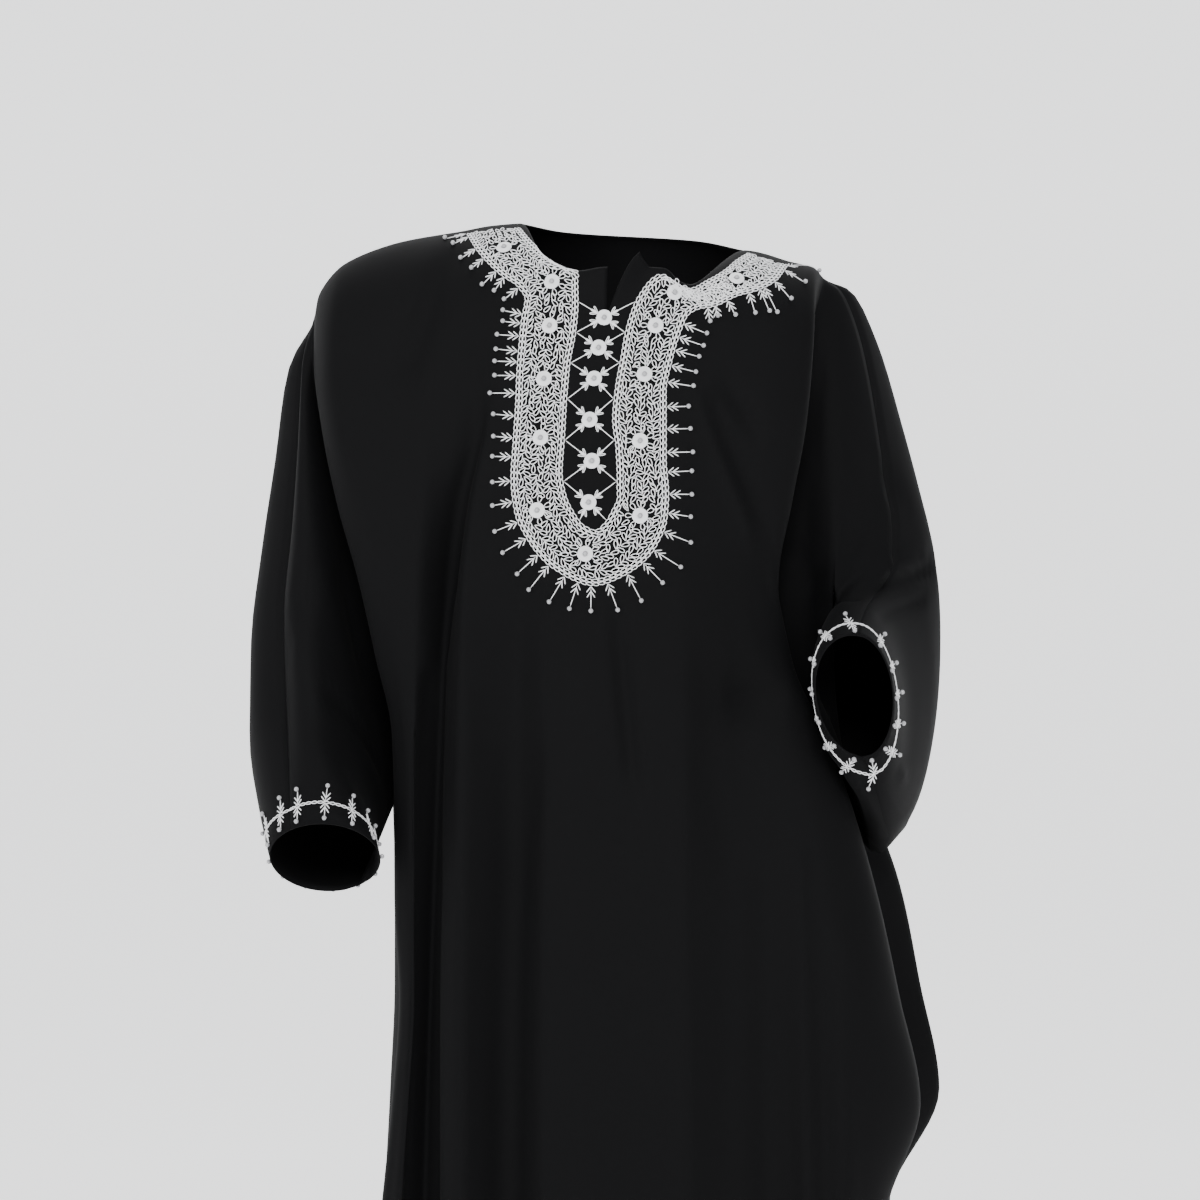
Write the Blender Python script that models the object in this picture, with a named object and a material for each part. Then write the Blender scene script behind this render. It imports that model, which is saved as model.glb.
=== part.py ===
"""Long black kaftan dress with an embroidered neck band, hollow as if worn.

Metres. X runs to the wearer's left, the front faces -Y, Z is up. The origin is the point at
the neck where the shoulders carry the dress.
"""

import bpy
import numpy as np
from mathutils import Vector
from mathutils.bvhtree import BVHTree

MM = 0.001
WALL = 1.2 * MM  # cloth with its turned edges
SEAM_BACK = 0.2 * MM  # each panel stops this far short of a seam
FIRST_LEVEL = -110  # the cloth rolls over the shoulder above this height

LEVELS = (-110, -170, -240, -310, -380, -450, -520, -600, -690, -790, -900, -1420)

# Fold lines of the front: name, steps to the next line, top x, top y, top z, x and y per level
FRONT = (
    ("side_left", 3, -258, 6, -62,
     (-258, -246, -222, -200, -182, -168, -170, -176, -174, -181, -192, -236),
     (-16, -14, -12, -8, -2, 6, 14, 22, 26, 26, 22, 15)),
    ("edge_left", 2, -255, 4, -47,
     (-256, -248, -233, -213, -197, -182, -180, -180, -176, -183, -194, -240),
     (-30, -48, -60, -68, -72, -74, -72, -66, -62, -60, -60, -50)),
    ("hollow_left", 2, -234, 2, -19,
     (-236, -231, -215, -197, -184, -173, -171, -171, -169, -175, -185, -228),
     (-70, -82, -88, -92, -92, -90, -87, -82, -78, -76, -75, -64)),
    ("ridge_a", 2, -179, 0, 4,
     (-146, -151, -155, -159, -159, -159, -159, -160, -161, -166, -173, -205),
     (-92, -104, -110, -110, -106, -100, -95, -90, -86, -84, -84, -76)),
    ("valley_a", 2, -121, -2, 14,
     (-106, -105, -121, -129, -134, -138, -141, -144, -147, -150, -153, -172),
     (-101, -107, -97, -86, -80, -74, -70, -66, -62, -58, -56, -44)),
    ("ridge_b", 3, -93, -4, 19,
     (-84, -92, -104, -113, -116, -118, -119, -120, -121, -121, -121, -132),
     (-105, -113, -117, -117, -114, -110, -107, -105, -103, -102, -101, -98)),
    ("valley_b", 4, -66, -5, 21,
     (-57, -56, -63, -68, -70, -70, -70, -70, -72, -73, -74, -84),
     (-108, -116, -119, -115, -104, -97, -92, -88, -85, -83, -82, -72)),
    ("flat_left", 2, -44, -85, -17,
     (-30, -29, -32, -36, -39, -40, -40, -40, -41, -41, -41, -46),
     (-110, -118, -121, -122, -119, -115, -113, -112, -111, -111, -111, -113)),
    ("inner_left", 2, -13, -100, -32,
     (-8, -9, -13, -11, -8, -6, -4, -3, -3, -2, -2, 0),
     (-111, -119, -122, -124, -121, -118, -117, -116, -115, -115, -115, -118)),
    ("centre", 2, 14, -105, -29,
     (12, 8, 3, 10, 18, 27, 34, 36, 37, 37, 38, 42),
     (-112, -120, -123, -124, -120, -117, -116, -116, -115, -115, -115, -116)),
    ("inner_right", 2, 58, -105, -30,
     (48, 43, 43, 46, 51, 54, 56, 58, 59, 60, 61, 70),
     (-111, -119, -122, -123, -121, -119, -118, -117, -116, -116, -116, -117)),
    ("flat_right", 3, 88, -95, -44,
     (77, 72, 72, 76, 80, 82, 82, 82, 85, 87, 88, 105),
     (-108, -117, -120, -121, -120, -118, -117, -116, -115, -114, -113, -112)),
    ("valley_c", 3, 141, -5, -4,
     (125, 117, 117, 122, 128, 135, 143, 150, 155, 159, 162, 185),
     (-103, -112, -112, -108, -104, -99, -100, -101, -98, -94, -91, -80)),
    ("ridge_c", 3, 183, 0, -14,
     (172, 163, 151, 143, 153, 175, 196, 211, 228, 227, 221, 258),
     (-95, -104, -104, -100, -98, -94, -97, -99, -100, -100, -100, -98)),
    ("edge_right", 3, 205, 4, -19,
     (200, 194, 181, 169, 181, 212, 238, 261, 281, 301, 267, 322),
     (-78, -84, -86, -84, -76, -70, -64, -58, -52, -45, -55, -50)),
    ("side_right", 0, 216, 6, -29,
     (194, 185, 170, 158, 172, 206, 231, 254, 276, 298, 262, 318),
     (-24, -24, -22, -20, -14, 2, 18, 27, 32, 30, 22, 15)),
)

# Fold lines of the back between the two sides: name, front line it meets at the top,
# steps to the next line, x and y per level
BACK = (
    ("back_edge_left", "hollow_left", 4,
     (-232, -230, -222, -212, -202, -194, -190, -188, -188, -192, -198, -230),
     (52, 66, 74, 77, 77, 75, 72, 70, 68, 66, 66, 62)),
    ("back_fold_left", "valley_a", 4,
     (-128, -130, -132, -134, -134, -134, -134, -134, -136, -138, -140, -160),
     (82, 94, 100, 100, 98, 96, 95, 94, 92, 90, 88, 84)),
    ("back_neck_left", "valley_b", 4,
     (-66, -66, -67, -68, -68, -68, -68, -68, -70, -72, -74, -84),
     (88, 100, 106, 108, 110, 112, 112, 112, 112, 112, 112, 116)),
    ("back_centre", None, 4,
     (34, 34, 34, 34, 34, 34, 34, 36, 37, 38, 38, 42),
     (86, 98, 104, 104, 102, 100, 98, 97, 96, 94, 94, 92)),
    ("back_neck_right", "valley_c", 3,
     (138, 136, 134, 132, 132, 134, 138, 146, 152, 158, 162, 184),
     (84, 97, 104, 108, 110, 112, 113, 113, 113, 112, 112, 116)),
    ("back_fold_right", "ridge_c", 3,
     (176, 170, 164, 160, 164, 178, 196, 216, 230, 240, 222, 262),
     (70, 84, 92, 94, 94, 92, 90, 88, 86, 84, 86, 80)),
    ("back_edge_right", "edge_right", 3,
     (204, 196, 186, 180, 190, 222, 262, 292, 310, 328, 281, 328),
     (50, 62, 70, 74, 74, 68, 62, 58, 54, 50, 52, 44)),
)
NECK_BACK = ((-66, -5, 21), (-24, 52, 19), (36, 70, 17), (100, 54, 11), (141, -5, -4))

# Long creases and hollows on the front: from x, from z, to x, to z, half width, height
CREASES = (
    (-132, -26, -164, -117, 15, -5),
    (95, -150, 172, -326, 8, 5),
    (107, -156, 166, -296, 7, -4),
    (134, -172, 164, -312, 9, -5),
    (119, -136, 151, -179, 8, -3),
    (148, -402, 150, -414, 26, -8),
    (23, -339, 36, -486, 8, -3),
)

ROW_Z = (
    -110, -135, -160, -185, -210, -237, -264, -291, -318, -345, -372, -399, -426, -453, -480,
    -515, -550, -585, -620, -655, -690, -725, -758, -790, -822, -856, -892, -930, -970, -1015,
    -1065, -1120, -1180, -1240, -1300, -1360, -1420,
)
TOP_ROWS = 7
SLIT_ROWS = 5  # the neck slit runs from the neckline to this row
UNDERARM_LEFT_Z, UNDERARM_RIGHT_Z = -480, -550
FOLD_CLEAR = 8  # between the right sleeve and the fold edge of the body
SLIT_OPEN = 29  # how far the right flap of the slit stands open at the neckline

# Sleeve rings from the shoulder to the cuff: points over, in front, under and behind the arm
RINGS_LEFT = (
    ((-266, -2, -106), (-230, -30, -300), (-176, 12, -497), (-262, 48, -290)),
    ((-271, -12, -184), (-230, -46, -345), (-182, 8, -512), (-277, 50, -335)),
    ((-277, -22, -262), (-230, -60, -392), (-188, 0, -527), (-291, 42, -385)),
    ((-283, -40, -340), (-229, -76, -436), (-194, -14, -543), (-300, 20, -440)),
    ((-279, -60, -420), (-223, -94, -474), (-200, -34, -559), (-303, -12, -492)),
    ((-272, -105, -484), (-210, -117, -508), (-206, -58, -574), (-293, -58, -540)),
    ((-267, -146, -532), (-198, -136, -541), (-211, -84, -587), (-280, -94, -578)),
)
RINGS_RIGHT = (
    ((231, 4, -40), (196, -28, -290), (244, 24, -556), (262, 58, -280)),
    ((247, 0, -78), (208, -36, -306), (251, 20, -561), (286, 66, -300)),
    ((259, -6, -134), (216, -42, -330), (258, 12, -562), (304, 66, -330)),
    ((268, -12, -196), (220, -46, -355), (269, 0, -564), (320, 58, -352)),
    ((277, -18, -262), (214, -52, -385), (272, -18, -557), (328, 40, -372)),
    ((274, -26, -304), (206, -62, -402), (272, -40, -546), (321, 12, -398)),
    ((260, -52, -322), (200, -80, -408), (266, -66, -530), (306, -20, -414)),
    ((249, -82, -334), (197, -104, -408), (258, -92, -508), (288, -58, -422)),
    ((241, -112, -348), (197, -124, -408), (250, -108, -486), (277, -98, -420)),
    ((236, -136, -360), (198, -138, -408), (241, -120, -469), (269, -128, -416)),
)

# Embroidered band round the neck and down the chest, station by station from the left
# shoulder to the right one: outer edge x, z and inner edge x, z
BAND = (
    (-116, 8, -66, 13), (-104, -12, -53, -4), (-84, -34, -39, -17), (-69, -45, -25, -26),
    (-61, -59, -13, -35), (-64, -79, -12, -61), (-66, -99, -14, -87), (-68, -126, -19, -115),
    (-69, -153, -22, -149), (-71, -185, -24, -183), (-73, -219, -26, -213), (-70, -248, -23, -233),
    (-58, -275, -19, -252), (-34, -300, -11, -263), (1, -314, 2, -267), (34, -303, 14, -263),
    (57, -282, 20, -252), (67, -258, 22, -236), (69, -234, 22, -219), (67, -203, 21, -194),
    (67, -171, 18, -167), (67, -143, 20, -142), (73, -111, 25, -113), (80, -88, 30, -86),
    (87, -73, 40, -58), (97, -67, 60, -37), (111, -64, 85, -48), (132, -54, 104, -39),
    (151, -48, 119, -29), (167, -39, 131, -18), (180, -22, 142, -10),
)
BAND_THICK = 1.0 * MM
BAND_GAP = 0.6 * MM  # over the flat faces of the front
BAND_STATIONS, BAND_ACROSS, BAND_LIFTS = 61, 6, 12


def smooth_through(knots, values, wanted):
    """Piecewise cubic through the values that never rises above or falls below its knots."""
    knots, values = np.asarray(knots, float), np.asarray(values, float)
    wanted = np.clip(np.asarray(wanted, float), knots[0], knots[-1])
    gap = np.diff(knots)
    slope = np.diff(values) / gap
    tangent = np.zeros_like(values)
    tangent[0], tangent[-1] = slope[0], slope[-1]
    for i in range(1, len(knots) - 1):
        if slope[i - 1] * slope[i] > 0:
            before, after = 2 * gap[i] + gap[i - 1], gap[i] + 2 * gap[i - 1]
            tangent[i] = (before + after) / (before / slope[i - 1] + after / slope[i])
    cell = np.clip(np.searchsorted(knots, wanted, "right") - 1, 0, len(gap) - 1)
    t = (wanted - knots[cell]) / gap[cell]
    return (
        (1 + 2 * t) * (1 - t) ** 2 * values[cell]
        + t * (1 - t) ** 2 * gap[cell] * tangent[cell]
        + t * t * (3 - 2 * t) * values[cell + 1]
        + t * t * (t - 1) * gap[cell] * tangent[cell + 1]
    )


def down_line(top, xs, ys, zs):
    """Points of one fold line at heights zs, where zs[0] is its top; it rolls off the shoulder."""
    x_top, y_top, z_top = top
    rising = [-z for z in (z_top,) + LEVELS]
    x = smooth_through(rising, (x_top,) + tuple(xs), -zs)
    y = smooth_through([-z for z in LEVELS], ys, -np.minimum(zs, FIRST_LEVEL))
    t = np.clip((z_top - zs) / (z_top - FIRST_LEVEL), 0, 1)
    rolled = np.sqrt(np.clip(1 - (1 - t) ** 2, 0, 1))
    return np.stack([x, y_top + (y - y_top) * rolled, zs], axis=-1)


def row_heights(z_top):
    """Heights of all rows of a line that starts at z_top."""
    share = (np.arange(TOP_ROWS) / TOP_ROWS) ** 1.7
    return np.concatenate([z_top + (FIRST_LEVEL - z_top) * share, np.array(ROW_Z, float)])


def across(lines, columns):
    """Rows of points spread over the fold lines; columns are places along the line numbers."""
    numbers = np.arange(len(lines))
    stack = np.array(lines)
    out = np.empty((len(columns), stack.shape[1], 3))
    for row in range(stack.shape[1]):
        for axis in range(3):
            out[:, row, axis] = smooth_through(numbers, stack[:, row, axis], columns)
    return out


def stepped(steps):
    """Places along the line numbers, with the given number of steps after each line."""
    places = [0.0]
    for number, count in enumerate(steps):
        places += [number + (i + 1) / count for i in range(count)]
    return np.array(places)


def crease_height(x, z):
    """How far the creases lift the front at (x, z)."""
    total = np.zeros_like(x)
    for x0, z0, x1, z1, half, height in CREASES:
        run, rise = x1 - x0, z1 - z0
        along = ((x - x0) * run + (z - z0) * rise) / (run * run + rise * rise)
        held = np.clip(along, 0, 1)
        off = np.hypot(x - x0 - held * run, z - z0 - held * rise)
        total += height * np.exp(-((off / half) ** 2)) * np.sqrt(np.sin(np.pi * (0.08 + 0.84 * held)))
    return total


def front_points():
    lines = [down_line(top, xs, ys, row_heights(top[2]))
             for top, xs, ys in (((f[2], f[3], f[4]), f[5], f[6]) for f in FRONT)]
    points = across(lines, stepped([f[1] for f in FRONT[:-1]]))
    points[..., 1] -= crease_height(points[..., 0], points[..., 2])
    return points


def seam_column(name):
    """Column number of the front at the named fold line."""
    return sum(f[1] for f in FRONT[: [f[0] for f in FRONT].index(name)])


def arm_back(front_line, rows):
    """The back of an armhole: the front line moved back, and the same line below the underarm."""
    line = front_line.copy()
    share = np.clip(np.arange(len(line)) / rows, 0, 1)
    line[:, 1] += 66 * np.sqrt(np.sin(np.pi * share))
    return line


def back_points(front, left_rows, right_rows):
    left, right = seam_column("valley_b"), seam_column("valley_c")
    last = front.shape[0] - 1
    lines, places = [arm_back(front[0], left_rows)], [0.0]
    for name, meets, steps, xs, ys in BACK:
        top = front[seam_column(meets), 0] if meets else np.array(NECK_BACK[2], float)
        lines.append(down_line(top, xs, ys, row_heights(top[2])))
    lines.append(arm_back(front[last], right_rows))
    shoulder_left = [seam_column(b[1]) for b in BACK[:3]]
    shoulder_right = [seam_column(b[1]) for b in BACK[4:]] + [last]
    steps = [shoulder_left[0]] + list(np.diff(shoulder_left)) + [4, 4] + list(np.diff(shoulder_right))
    points = across(lines, stepped(steps))
    points[: left + 1, 0] = front[: left + 1, 0]
    points[-(last - right + 1):, 0] = front[right:, 0]
    neck = np.array(NECK_BACK, float)
    for k in range(9):
        for axis in range(3):
            value = smooth_through(np.arange(5), neck[:, axis], [k / 2])[0]
            points[left + k, 0, axis] = value
    for k in range(1, 8):
        column = points[left + k]
        top, below = column[0].copy(), column[TOP_ROWS].copy()
        heights = row_heights(top[2])[:TOP_ROWS]
        t = (top[2] - heights) / (top[2] - FIRST_LEVEL)
        rolled = np.sqrt(1 - (1 - t) ** 2)
        column[:TOP_ROWS, 0] = top[0] + (below[0] - top[0]) * t
        column[:TOP_ROWS, 1] = top[1] + (below[1] - top[1]) * rolled
        column[:TOP_ROWS, 2] = heights
    return points


def half_ring(over, middle, under, turns, fullness):
    """Half of a ring from the point over the arm to the point under it; 1 makes it oval."""
    over, middle, under = (np.array(p, float) for p in (over, middle, under))
    angle = np.pi * turns[:, None] / 2
    bulge = middle - (over + under) / 2
    return over * np.cos(angle) ** 2 + under * np.sin(angle) ** 2 + bulge * np.sin(2 * angle) ** fullness


def beside_fold(points):
    """Keeps the right sleeve outside the fold edge of the body that hangs beside it."""
    edge = FRONT[-2]
    heights = np.clip(points[..., 2], LEVELS[-1], LEVELS[0])
    limit = smooth_through([-z for z in LEVELS], edge[5], -heights) + FOLD_CLEAR
    limit = limit - 1.2 * np.clip(-84 - points[..., 1], 0, 200)
    limit = limit - np.clip(points[..., 1] - 20, 0, 200)
    points[..., 0] = np.maximum(points[..., 0], limit)
    return points


def sleeve_points(armhole, rings, side):
    """Rings of one sleeve half, from the armhole line to the cuff."""
    height = armhole[0, 2] - armhole[-1, 2]
    turns = 2 / np.pi * np.arcsin(np.sqrt(np.clip((armhole[0, 2] - armhole[:, 2]) / height, 0, 1)))
    middle = 1 if side == "front" else 3
    boxy = 1 if rings is RINGS_RIGHT and side == "front" else 0.62
    fullness = [boxy + (1 - boxy) * (i / len(rings)) ** 2 for i in range(1, len(rings) + 1)]
    halves = np.array([half_ring(ring[0], ring[middle], ring[2], turns, full)
                       for ring, full in zip(rings, fullness)])
    if rings is RINGS_RIGHT and side == "front":
        halves = beside_fold(halves)
    return np.concatenate([armhole[None], halves])


class Cloth:
    """Points shared by all panels, and the faces of each panel."""

    def __init__(self):
        self.places, self.number, self.faces = [], {}, {}

    def point(self, key, place):
        if key not in self.number:
            self.number[key] = len(self.places)
            self.places.append(place)
        return self.number[key]

    def grid(self, panel, numbers, outward):
        """Triangles over a grid of point numbers; outward is 1 or -1 for the way they face."""
        for a, b in zip(numbers, numbers[1:]):
            for i in range(len(a) - 1):
                corners = [a[i], b[i], b[i + 1], a[i + 1]]
                for three in ((0, 1, 2), (0, 2, 3)):
                    face = [corners[k] for k in three][::outward]
                    if len(set(face)) == 3:
                        self.faces.setdefault(panel, []).append(face)


def garment():
    """The cloth surface: its points, the faces of each panel and the two underarm points."""
    front = front_points()
    last = front.shape[0] - 1
    row_of = {z: TOP_ROWS + i for i, z in enumerate(ROW_Z)}
    left_rows, right_rows = row_of[UNDERARM_LEFT_Z], row_of[UNDERARM_RIGHT_Z]
    back = back_points(front, left_rows, right_rows)
    back_last = back.shape[0] - 1
    slit, neck_left, neck_right = (seam_column(n) for n in ("centre", "valley_b", "valley_c"))
    cloth = Cloth()

    def front_number(c, r, right_of_slit=False):
        place = front[c, r].copy()
        opened = SLIT_OPEN * max(0.0, 1 - r / SLIT_ROWS)
        if right_of_slit and opened:
            place = place + (opened, -0.3 * opened, 0.42 * opened)
            return cloth.point(("slit", r), place)
        if opened and c in (slit + 1, slit + 2, slit + 3):
            place = place + (opened * (0.55, 0.2, 0.05)[c - slit - 1], 0, 0)
        return cloth.point(("front", c, r), place)

    def back_number(c, r):
        if c == 0 and (r == 0 or r >= left_rows):
            return front_number(0, r)
        if c == back_last and (r == 0 or r >= right_rows):
            return front_number(last, r)
        if r == 0 and c <= neck_left:
            return front_number(c, 0)
        if r == 0 and back_last - c <= last - neck_right:
            return front_number(last - (back_last - c), 0)
        return cloth.point(("back", c, r), back[c, r])

    rows = range(front.shape[1])
    for c in range(last):
        after = [front_number(c + 1, r) for r in rows]
        before = [front_number(c, r, right_of_slit=c == slit) for r in rows]
        cloth.grid("front", [before, after], -1)
    for c in range(back_last):
        cloth.grid("back", [[back_number(c, r) for r in rows],
                            [back_number(c + 1, r) for r in rows]], 1)
    for side, rings, column, back_column, count, way in (
        ("left", RINGS_LEFT, 0, 0, left_rows, 1),
        ("right", RINGS_RIGHT, last, back_last, right_rows, -1),
    ):
        for panel, body, number, col in (
            ("front", front, front_number, column),
            ("back", back, back_number, back_column),
        ):
            points = sleeve_points(body[col, : count + 1], rings, panel)
            numbers = [[number(col, r) for r in range(count + 1)]]
            for i in range(1, len(points)):
                line = []
                for j in range(count + 1):
                    shared = {0: "over", count: "under"}.get(j, panel)
                    line.append(cloth.point((side, shared, i, j), points[i, j]))
                numbers.append(line)
            cloth.grid(panel, numbers, way if panel == "front" else -way)
    underarms = [cloth.number["front", 0, left_rows], cloth.number["front", last, right_rows]]
    return np.array(cloth.places) * MM, {k: np.array(v) for k, v in cloth.faces.items()}, underarms


def point_normals(places, faces):
    corner = places[faces]
    cross = np.cross(corner[:, 1] - corner[:, 0], corner[:, 2] - corner[:, 0])
    total = np.zeros_like(places)
    for k in range(3):
        arms = corner[:, (k + 1) % 3] - corner[:, k], corner[:, (k + 2) % 3] - corner[:, k]
        size = np.linalg.norm(cross, axis=1)
        angle = np.arctan2(size, np.einsum("ij,ij->i", *arms))
        np.add.at(total, faces[:, k], cross / np.maximum(size, 1e-15)[:, None] * angle[:, None])
    return total / np.maximum(np.linalg.norm(total, axis=1), 1e-12)[:, None]


def edges_once(faces):
    """Directed edges that only one face has."""
    ends = np.concatenate([faces[:, [0, 1]], faces[:, [1, 2]], faces[:, [2, 0]]])
    have = {tuple(e) for e in ends.tolist()}
    return [e for e in have if (e[1], e[0]) not in have]


def drawn_back(places, faces, normals, seam):
    """Moves the seam points of a panel a little way into it."""
    moved = places.copy()
    inward = {n: np.zeros(3) for n in seam}
    for face in faces:
        for n in face:
            if n in inward:
                others = [m for m in face if m not in inward]
                for m in others:
                    arm = places[m] - places[n]
                    inward[n] += arm / np.linalg.norm(arm)
    for n, way in inward.items():
        way = way - normals[n] * way.dot(normals[n])
        size = np.linalg.norm(way)
        if size > 1e-9:
            moved[n] = places[n] + way / size * SEAM_BACK
    return moved


def panel_object(name, places, faces, normals, seam):
    """One cloth panel as a closed wall: the outer face, the inner face and its edges."""
    outer = drawn_back(places, faces, normals, seam)
    inner = outer - normals * WALL
    used = np.unique(faces)
    small = {n: i for i, n in enumerate(used)}
    count = len(used)
    front = [[small[n] for n in face] for face in faces]
    rear = [[n + count for n in face[::-1]] for face in front]
    rim = []
    for a, b in edges_once(np.array(front)):
        rim += [[b, a, a + count], [b, a + count, b + count]]
    mesh = bpy.data.meshes.new(name)
    mesh.from_pydata(np.concatenate([outer[used], inner[used]]).tolist(), [], front + rear + rim)
    mesh.update()
    obj = bpy.data.objects.new(name, mesh)
    bpy.context.scene.collection.objects.link(obj)
    return obj


def face_hit(tree, x, z):
    """Point and direction of the front cloth at (x, z), or just below it past the neckline."""
    for drop in range(30):
        place, normal, _, _ = tree.ray_cast(Vector((x, -0.3, z - drop * MM)), Vector((0, 1, 0)))
        if place and normal.y < -0.05:
            break
    return np.array(place), np.array(normal)


def band_object(panel):
    """The embroidered band: points of the front, moved out by the gap and the thickness."""
    mesh = panel.data
    tree = BVHTree.FromPolygons([v.co for v in mesh.vertices],
                                [tuple(p.vertices) for p in mesh.polygons])
    numbers = np.arange(len(BAND))
    wanted = np.linspace(0, len(BAND) - 1, BAND_STATIONS)
    edge = [smooth_through(numbers, [b[k] for b in BAND], wanted) * MM for k in range(4)]
    laid, outward = [], []
    for i in range(BAND_STATIONS):
        for k in range(BAND_ACROSS):
            t = k / (BAND_ACROSS - 1)
            place, normal = face_hit(tree, edge[0][i] + (edge[2][i] - edge[0][i]) * t,
                                     edge[1][i] + (edge[3][i] - edge[1][i]) * t)
            laid.append(place)
            outward.append(normal if normal[1] < 0 else -normal)
    laid, outward = np.array(laid), np.array(outward)
    faces = []
    for i in range(BAND_STATIONS - 1):
        for k in range(BAND_ACROSS - 1):
            a = i * BAND_ACROSS + k
            b = a + BAND_ACROSS
            faces += [[a, b, b + 1], [a, b + 1, a + 1]]
    for _ in range(4):
        mean = outward.copy()
        for face in faces:
            mean[face] += outward[face].sum(axis=0) / 3
        outward = mean / np.linalg.norm(mean, axis=1)[:, None]
    lift = np.full(len(laid), BAND_GAP)
    for _ in range(BAND_LIFTS):
        low = laid + outward * (lift - BAND_GAP / 2)[:, None]
        touching = BVHTree.FromPolygons(low.tolist(), faces).overlap(tree)
        lift[np.unique([n for t, _ in touching for n in faces[t]]).astype(int)] += BAND_GAP / 2
        if not touching:
            break
    low = laid + outward * lift[:, None]
    high = low + outward * BAND_THICK
    count = len(low)
    top = [[n + count for n in f] for f in faces]
    rim = [[b, a, a + count] for a, b in edges_once(np.array(faces))]
    rim += [[b, a + count, b + count] for a, b in edges_once(np.array(faces))]
    mesh = bpy.data.meshes.new("neck_band")
    mesh.from_pydata(np.concatenate([low, high]).tolist(), [],
                     [f[::-1] for f in faces] + top + [f[::-1] for f in rim])
    mesh.update()
    obj = bpy.data.objects.new("neck_band", mesh)
    bpy.context.scene.collection.objects.link(obj)
    if volume_of(mesh) < 0:
        mesh.flip_normals()
    return obj


def volume_of(mesh):
    return sum(np.linalg.det([mesh.vertices[v].co for v in p.vertices]) for p in mesh.polygons)


def main():
    for obj in list(bpy.data.objects):
        bpy.data.objects.remove(obj)
    places, panels, underarms = garment()
    normals = point_normals(places, np.concatenate(list(panels.values())))
    normals[underarms] = (0, 0, -1)
    shared = set(np.unique(panels["front"]).tolist()) & set(np.unique(panels["back"]).tolist())
    made = {panel: panel_object(f"{panel}_panel", places, faces, normals, shared)
            for panel, faces in panels.items()}
    band_object(made["front"])


main()
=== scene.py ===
"""Looks of the black kaftan dress: crepe cloth, chain-stitch embroidery, beads, light, camera.

Metres, in the same place as the solids. The front faces -Y and X runs to the wearer's left.
The tables are in millimetres, and "left" and "right" in them are the viewer's.
"""

import bpy
import numpy as np
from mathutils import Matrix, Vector
from mathutils.bvhtree import BVHTree

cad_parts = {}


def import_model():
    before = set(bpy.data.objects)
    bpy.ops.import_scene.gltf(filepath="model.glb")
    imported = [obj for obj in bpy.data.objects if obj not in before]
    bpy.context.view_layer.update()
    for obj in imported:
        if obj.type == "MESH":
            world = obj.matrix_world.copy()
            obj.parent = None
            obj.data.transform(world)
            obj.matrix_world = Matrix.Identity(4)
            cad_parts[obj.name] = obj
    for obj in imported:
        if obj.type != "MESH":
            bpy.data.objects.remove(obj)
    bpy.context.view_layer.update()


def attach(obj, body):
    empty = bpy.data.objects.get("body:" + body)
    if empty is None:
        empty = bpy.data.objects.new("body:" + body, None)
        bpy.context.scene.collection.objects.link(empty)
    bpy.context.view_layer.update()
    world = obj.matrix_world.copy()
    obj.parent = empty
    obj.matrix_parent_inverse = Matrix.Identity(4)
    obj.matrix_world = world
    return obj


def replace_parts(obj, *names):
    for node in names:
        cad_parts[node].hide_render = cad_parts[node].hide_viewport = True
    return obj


MM = 0.001
FIRST_LEVEL = -110  # the cloth rolls over the shoulder above this height
FINER_ACROSS, FINER_DOWN, FINER_RINGS = 4, 3, 4  # steps of the cloth for one of the solid
CLOTH = 0.9 * MM  # thickness
LAMPS = (  # name, place, size, power
    ("key", (0.1, -3.2, 1.3), 0.9, 92),
    ("fill", (-2.3, -1.8, 0.7), 1.3, 30),
    ("top", (0.0, 0.6, 1.9), 1.4, 30),
)

# Heights at which the tables below give x and y
LEVELS = (-110, -170, -240, -310, -380, -450, -520, -600, -690, -790, -900, -1420)

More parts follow.
